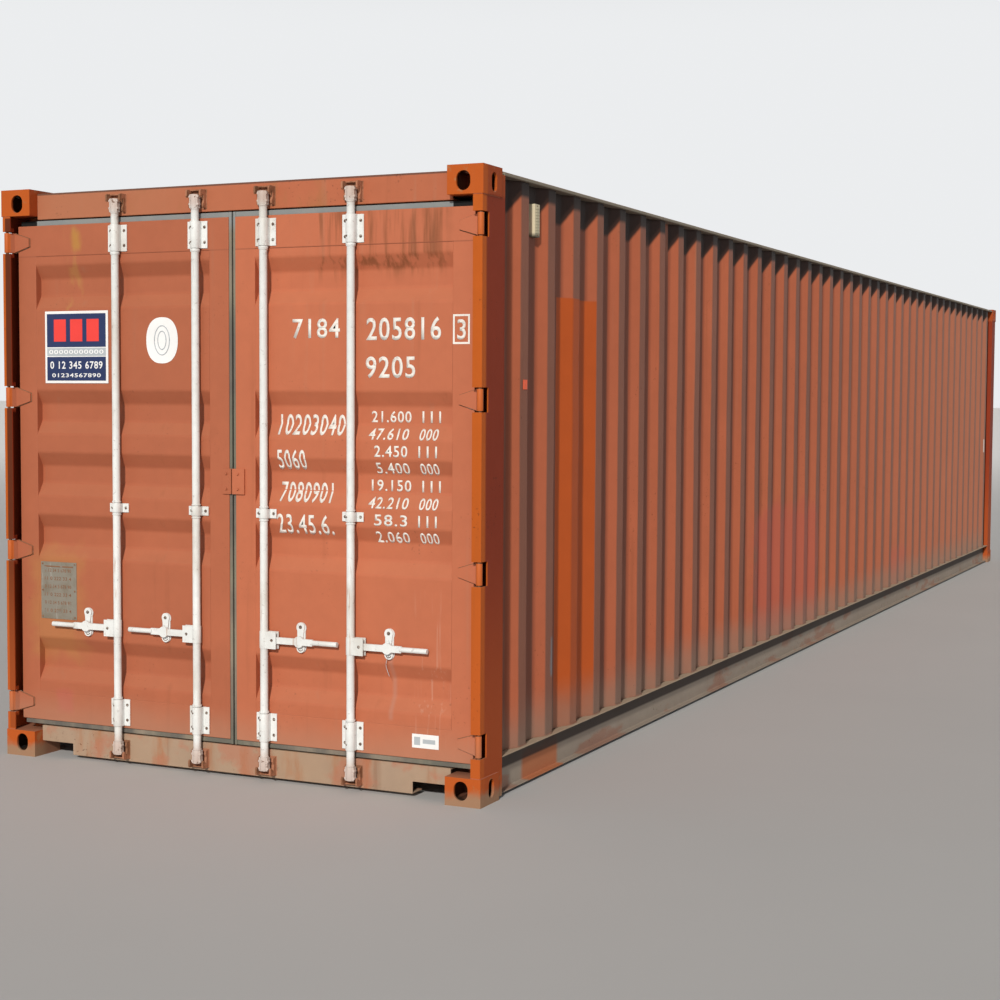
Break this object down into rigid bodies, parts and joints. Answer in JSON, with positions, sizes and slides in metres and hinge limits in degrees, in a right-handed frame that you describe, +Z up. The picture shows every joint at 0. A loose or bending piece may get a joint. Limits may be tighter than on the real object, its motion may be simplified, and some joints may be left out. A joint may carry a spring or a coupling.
{
  "type": "forty-foot dry freight container",
  "caption": "Corrugated steel shipping container with double end doors that swing on side hinges, locking bars with handles, timber floor and corner castings.",
  "frame": {"origin": "on the ground, under the middle of the container", "axes": "+Z up, +Y along the container towards the closed end (the doors face -Y), +X to the right as seen facing the doors"},
  "size_m": [2.438, 12.192, 2.591],
  "materials": {
    "body_paint": "weathered satin",
    "door_paint": "weathered satin",
    "frame_paint": "satin",
    "underside_paint": "matt bitumen",
    "gear_paint": "chipped satin",
    "bare_steel": "rusty",
    "seal_rubber": "weathered",
    "plywood": "worn",
    "vent_plastic": "chalky",
    "plate_metal": "dull"
  },
  "bodies": {
    "container_frame": {"door_end_castings": "frame_paint", "closed_end_castings": "body_paint", "door_posts": "frame_paint", "closed_end_posts": "body_paint", "hinge_pins": "bare_steel", "bottom_side_rails": "body_paint", "top_side_rails": "body_paint", "door_header": "body_paint", "door_sill": "body_paint", "closed_end_header": "body_paint", "closed_end_sill": "body_paint", "side_wall_left": "body_paint", "side_wall_right": "body_paint", "closed_end_wall": "body_paint", "roof_panel": "body_paint", "cross_members": "underside_paint", "gooseneck_tunnel": "underside_paint", "floor_boards": "plywood", "ventilators": "vent_plastic", "cam_keepers": "bare_steel"},
    "left_door": {"door_left_frame": "door_paint", "door_left_panel": "door_paint", "door_left_seal": "seal_rubber", "door_left_hinges": "door_paint", "door_left_bar_brackets": "gear_paint", "door_left_handle_rests": "gear_paint", "door_left_overlap_plate": "door_paint", "door_left_data_plate": "plate_metal"},
    "right_door": {"door_right_frame": "door_paint", "door_right_panel": "door_paint", "door_right_seal": "seal_rubber", "door_right_hinges": "door_paint", "door_right_bar_brackets": "gear_paint", "door_right_handle_rests": "gear_paint", "door_right_overlap_plate": "door_paint"},
    "bar_1": {"lock_bar_1": "gear_paint"},
    "grip_1": {"handle_1": "gear_paint"},
    "catch_1": {"handle_catch_1": "gear_paint"},
    "bar_2": {"lock_bar_2": "gear_paint"},
    "grip_2": {"handle_2": "gear_paint"},
    "catch_2": {"handle_catch_2": "gear_paint"},
    "bar_3": {"lock_bar_3": "gear_paint"},
    "grip_3": {"handle_3": "gear_paint"},
    "catch_3": {"handle_catch_3": "gear_paint"},
    "bar_4": {"lock_bar_4": "gear_paint"},
    "grip_4": {"handle_4": "gear_paint"},
    "catch_4": {"handle_catch_4": "gear_paint"}
  },
  "joints": [
    {"name": "left_door_swing", "type": "hinge", "parent": "container_frame", "child": "left_door", "pos_m": [-1.201, -6.079, 1.3], "axis": [0, 0, -1], "range_deg": [0, 265]},
    {"name": "right_door_swing", "type": "hinge", "parent": "container_frame", "child": "right_door", "pos_m": [1.201, -6.079, 1.3], "axis": [0, 0, 1], "range_deg": [0, 265]},
    {"name": "bar_1_turn", "type": "hinge", "parent": "left_door", "child": "bar_1", "pos_m": [-0.601, -6.073, 1.3], "axis": [0, 0, -1], "range_deg": [-100, 0]},
    {"name": "bar_2_turn", "type": "hinge", "parent": "left_door", "child": "bar_2", "pos_m": [-0.174, -6.073, 1.3], "axis": [0, 0, -1], "range_deg": [-100, 0]},
    {"name": "bar_3_turn", "type": "hinge", "parent": "right_door", "child": "bar_3", "pos_m": [0.174, -6.073, 1.3], "axis": [0, 0, 1], "range_deg": [-100, 0]},
    {"name": "bar_4_turn", "type": "hinge", "parent": "right_door", "child": "bar_4", "pos_m": [0.601, -6.073, 1.3], "axis": [0, 0, 1], "range_deg": [-100, 0]},
    {"name": "handle_1_lift", "type": "hinge", "parent": "bar_1", "child": "grip_1", "pos_m": [-0.647, -6.073, 0.621], "axis": [0, -1, 0], "range_deg": [-25, 0]},
    {"name": "handle_2_lift", "type": "hinge", "parent": "bar_2", "child": "grip_2", "pos_m": [-0.22, -6.073, 0.621], "axis": [0, -1, 0], "range_deg": [-25, 0]},
    {"name": "handle_3_lift", "type": "hinge", "parent": "bar_3", "child": "grip_3", "pos_m": [0.22, -6.073, 0.621], "axis": [0, 1, 0], "range_deg": [-25, 0]},
    {"name": "handle_4_lift", "type": "hinge", "parent": "bar_4", "child": "grip_4", "pos_m": [0.647, -6.073, 0.621], "axis": [0, 1, 0], "range_deg": [-25, 0]},
    {"name": "catch_1_swing", "type": "hinge", "parent": "left_door", "child": "catch_1", "pos_m": [-0.776, -6.0595, 0.683], "axis": [0, 1, 0], "range_deg": [-90, 0]},
    {"name": "catch_2_swing", "type": "hinge", "parent": "left_door", "child": "catch_2", "pos_m": [-0.349, -6.0595, 0.683], "axis": [0, 1, 0], "range_deg": [-90, 0]},
    {"name": "catch_3_swing", "type": "hinge", "parent": "right_door", "child": "catch_3", "pos_m": [0.349, -6.0595, 0.683], "axis": [0, -1, 0], "range_deg": [-90, 0]},
    {"name": "catch_4_swing", "type": "hinge", "parent": "right_door", "child": "catch_4", "pos_m": [0.776, -6.0595, 0.683], "axis": [0, -1, 0], "range_deg": [-90, 0]}
  ]
}
